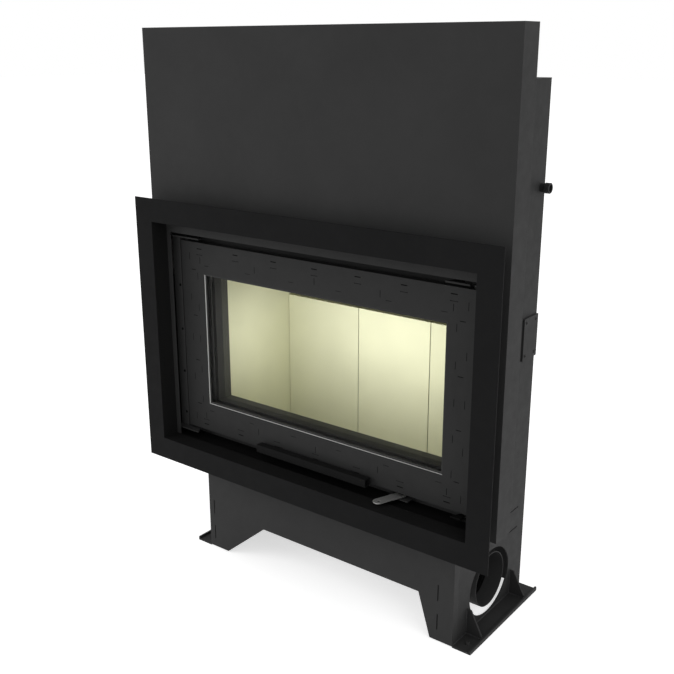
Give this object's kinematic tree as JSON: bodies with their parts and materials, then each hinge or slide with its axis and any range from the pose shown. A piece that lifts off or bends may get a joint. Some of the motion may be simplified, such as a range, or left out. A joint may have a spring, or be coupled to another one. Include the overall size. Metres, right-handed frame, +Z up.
{
  "type": "fireplace insert",
  "caption": "Built-in wood fireplace insert: black steel body on feet, deep portal frame, wide glass door that lifts on counterweights into a flat housing and swings open for cleaning.",
  "frame": {"origin": "middle of the footprint on the floor, under the whole object's box", "axes": "+X to the right seen from the front, +Y from the portal to the back, +Z up"},
  "size_m": [1.12, 0.465, 1.497],
  "materials": {
    "black_paint": "matte",
    "bright_steel": "satin",
    "plated_steel": "satin",
    "bare_steel": "matte",
    "wire_rope": "satin",
    "glass": "gloss",
    "fire_brick": "matte",
    "gasket_fibre": "matte"
  },
  "bodies": {
    "root": {"air_chamber": "black_paint", "air_inlet_duct": "black_paint", "air_slot_plate": "black_paint", "back_panel": "black_paint", "base_front_panel": "black_paint", "door_gasket": "gasket_fibre", "firebox_floor": "black_paint", "flue_collar": "black_paint", "foot_gussets": "black_paint", "foot_plate_left": "black_paint", "foot_plate_right": "black_paint", "guide_rail_left": "plated_steel", "guide_rail_right": "plated_steel", "hearth_slab": "fire_brick", "housing_back_plate": "black_paint", "housing_lid": "black_paint", "housing_shell": "black_paint", "lining_back_centre": "fire_brick", "lining_back_left": "fire_brick", "lining_back_right": "fire_brick", "lining_front": "fire_brick", "lining_left": "fire_brick", "lining_right": "fire_brick", "lower_baffle": "fire_brick", "portal_flange": "black_paint", "portal_sleeve": "black_paint", "pulley_axles": "plated_steel", "side_cover_plate": "black_paint", "side_nipple": "black_paint", "side_panel_left": "black_paint", "side_panel_right": "black_paint", "throat_frame": "black_paint", "top_panel": "black_paint", "upper_baffle": "black_paint", "wire_rope_left": "wire_rope", "wire_rope_right": "wire_rope"},
    "carriage": {"carriage_stile_left": "black_paint", "carriage_stile_right": "black_paint", "carriage_cross_bar": "black_paint", "hinge_and_strike_plates": "black_paint"},
    "door": {"door_front_frame": "black_paint", "door_rear_frame": "black_paint", "door_glass": "glass", "glass_gasket": "gasket_fibre", "glass_trim": "bright_steel", "glass_clips": "plated_steel", "door_pins": "black_paint", "door_handle": "black_paint"},
    "latch_upper": {"latch_upper": "black_paint"},
    "latch_lower": {"latch_lower": "black_paint"},
    "air_lever": {"air_lever": "bright_steel"},
    "air_shutter": {"air_shutter": "plated_steel"},
    "counterweight_left": {"counterweight_left": "bare_steel"},
    "pulley_left": {"pulley_left": "plated_steel"},
    "lower_roller_left": {"lower_roller_left": "plated_steel"},
    "upper_roller_left": {"upper_roller_left": "plated_steel"},
    "counterweight_right": {"counterweight_right": "bare_steel"},
    "pulley_right": {"pulley_right": "plated_steel"},
    "lower_roller_right": {"lower_roller_right": "plated_steel"},
    "upper_roller_right": {"upper_roller_right": "plated_steel"}
  },
  "joints": [
    {"name": "door_lift", "type": "slide", "parent": "root", "child": "carriage", "axis": [0, 0, 1], "range_m": [0, 0.47], "deforming": ["wire_rope_left", "wire_rope_right"]},
    {"name": "door_swing", "type": "hinge", "parent": "carriage", "child": "door", "pos_m": [-0.455, -0.1445, 0.6645], "axis": [0, 0, 1], "range_deg": [-90, 0]},
    {"name": "latch_upper_turn", "type": "hinge", "parent": "carriage", "child": "latch_upper", "pos_m": [0.4685, -0.156, 0.9563], "axis": [0, 0, -1], "range_deg": [-90, 0]},
    {"name": "latch_lower_turn", "type": "hinge", "parent": "carriage", "child": "latch_lower", "pos_m": [0.4685, -0.156, 0.3777], "axis": [0, 0, -1], "range_deg": [-90, 0]},
    {"name": "air_lever_turn", "type": "hinge", "parent": "root", "child": "air_lever", "pos_m": [0.2583, -0.1325, 0.3745], "axis": [0, 0, 1], "range_deg": [0, 43]},
    {"name": "air_shutter_slide", "type": "slide", "parent": "root", "child": "air_shutter", "axis": [1, 0, 0], "range_m": [-0.0221, 0.0001]},
    {"name": "counterweight_left_slide", "type": "slide", "parent": "root", "child": "counterweight_left", "axis": [0, 0, -1], "range_m": [0, 0.47]},
    {"name": "pulley_left_turn", "type": "hinge", "parent": "root", "child": "pulley_left", "pos_m": [-0.51, -0.1455, 1.47], "axis": [0, -1, 0], "range_deg": [0, 1347]},
    {"name": "lower_roller_left_turn", "type": "hinge", "parent": "carriage", "child": "lower_roller_left", "pos_m": [-0.489, -0.1292, 0.425], "axis": [-1, 0, 0], "range_deg": [0, 2693]},
    {"name": "upper_roller_left_turn", "type": "hinge", "parent": "carriage", "child": "upper_roller_left", "pos_m": [-0.489, -0.1292, 0.925], "axis": [-1, 0, 0], "range_deg": [0, 2693]},
    {"name": "counterweight_right_slide", "type": "slide", "parent": "root", "child": "counterweight_right", "axis": [0, 0, -1], "range_m": [0, 0.47]},
    {"name": "pulley_right_turn", "type": "hinge", "parent": "root", "child": "pulley_right", "pos_m": [0.51, -0.1455, 1.47], "axis": [0, 1, 0], "range_deg": [0, 1347]},
    {"name": "lower_roller_right_turn", "type": "hinge", "parent": "carriage", "child": "lower_roller_right", "pos_m": [0.489, -0.1292, 0.425], "axis": [-1, 0, 0], "range_deg": [0, 2693]},
    {"name": "upper_roller_right_turn", "type": "hinge", "parent": "carriage", "child": "upper_roller_right", "pos_m": [0.489, -0.1292, 0.925], "axis": [-1, 0, 0], "range_deg": [0, 2693]}
  ],
  "couplings": [
    {"joint": "air_shutter_slide", "follows": "air_lever_turn", "m_per_rad": -0.029301},
    {"joint": "counterweight_left_slide", "follows": "door_lift", "ratio": 1},
    {"joint": "pulley_left_turn", "follows": "door_lift", "rad_per_m": 50},
    {"joint": "lower_roller_left_turn", "follows": "door_lift", "rad_per_m": 100},
    {"joint": "upper_roller_left_turn", "follows": "door_lift", "rad_per_m": 100},
    {"joint": "counterweight_right_slide", "follows": "door_lift", "ratio": 1},
    {"joint": "pulley_right_turn", "follows": "door_lift", "rad_per_m": 50},
    {"joint": "lower_roller_right_turn", "follows": "door_lift", "rad_per_m": 100},
    {"joint": "upper_roller_right_turn", "follows": "door_lift", "rad_per_m": 100}
  ]
}
